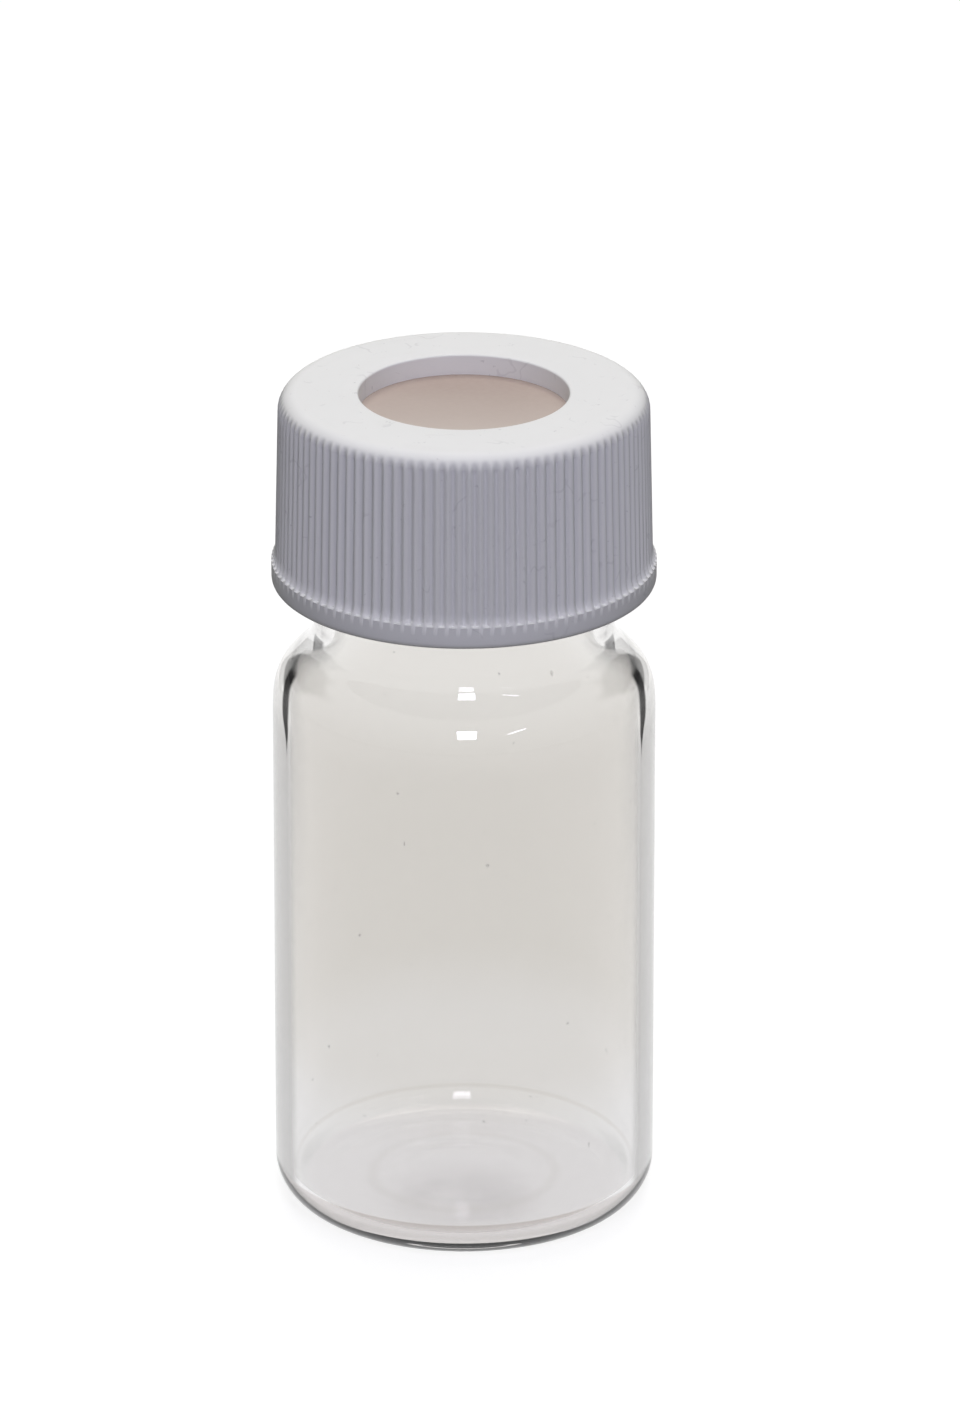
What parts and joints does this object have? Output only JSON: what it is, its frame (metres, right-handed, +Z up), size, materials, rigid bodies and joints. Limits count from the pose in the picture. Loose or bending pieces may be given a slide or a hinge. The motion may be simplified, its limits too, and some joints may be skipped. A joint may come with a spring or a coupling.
{
  "type": "glass sample vial",
  "caption": "Clear glass sample vial with a screw neck, an open-top ribbed screw cap and a soft sealing disc that a needle can pierce through the cap's hole.",
  "frame": {"origin": "centre of the standing ring under the glass, at the level the vial stands on", "axes": "+Z up along the vial's axis, from its base to its cap; the glass thread's lower end is on +X"},
  "size_m": [0.0276, 0.0276, 0.062],
  "materials": {
    "clear_glass": "polished",
    "white_plastic": "satin",
    "cream_silicone": "matte"
  },
  "bodies": {
    "vial": {"vial": "clear_glass"},
    "disc": {"septum": "cream_silicone"},
    "screw_cap": {"cap": "white_plastic"}
  },
  "joints": [
    {"name": "cap_lift", "type": "slide", "parent": "vial", "child": "disc", "axis": [0, 0, 1], "range_m": [0, 0.0145]},
    {"name": "cap_turn", "type": "hinge", "parent": "disc", "child": "screw_cap", "pos_m": [0, 0, 0.0605], "axis": [0, 0, 1], "range_deg": [0, 1620]}
  ],
  "couplings": [
    {"joint": "cap_lift", "follows": "cap_turn", "m_per_rad": 0.00050532}
  ]
}
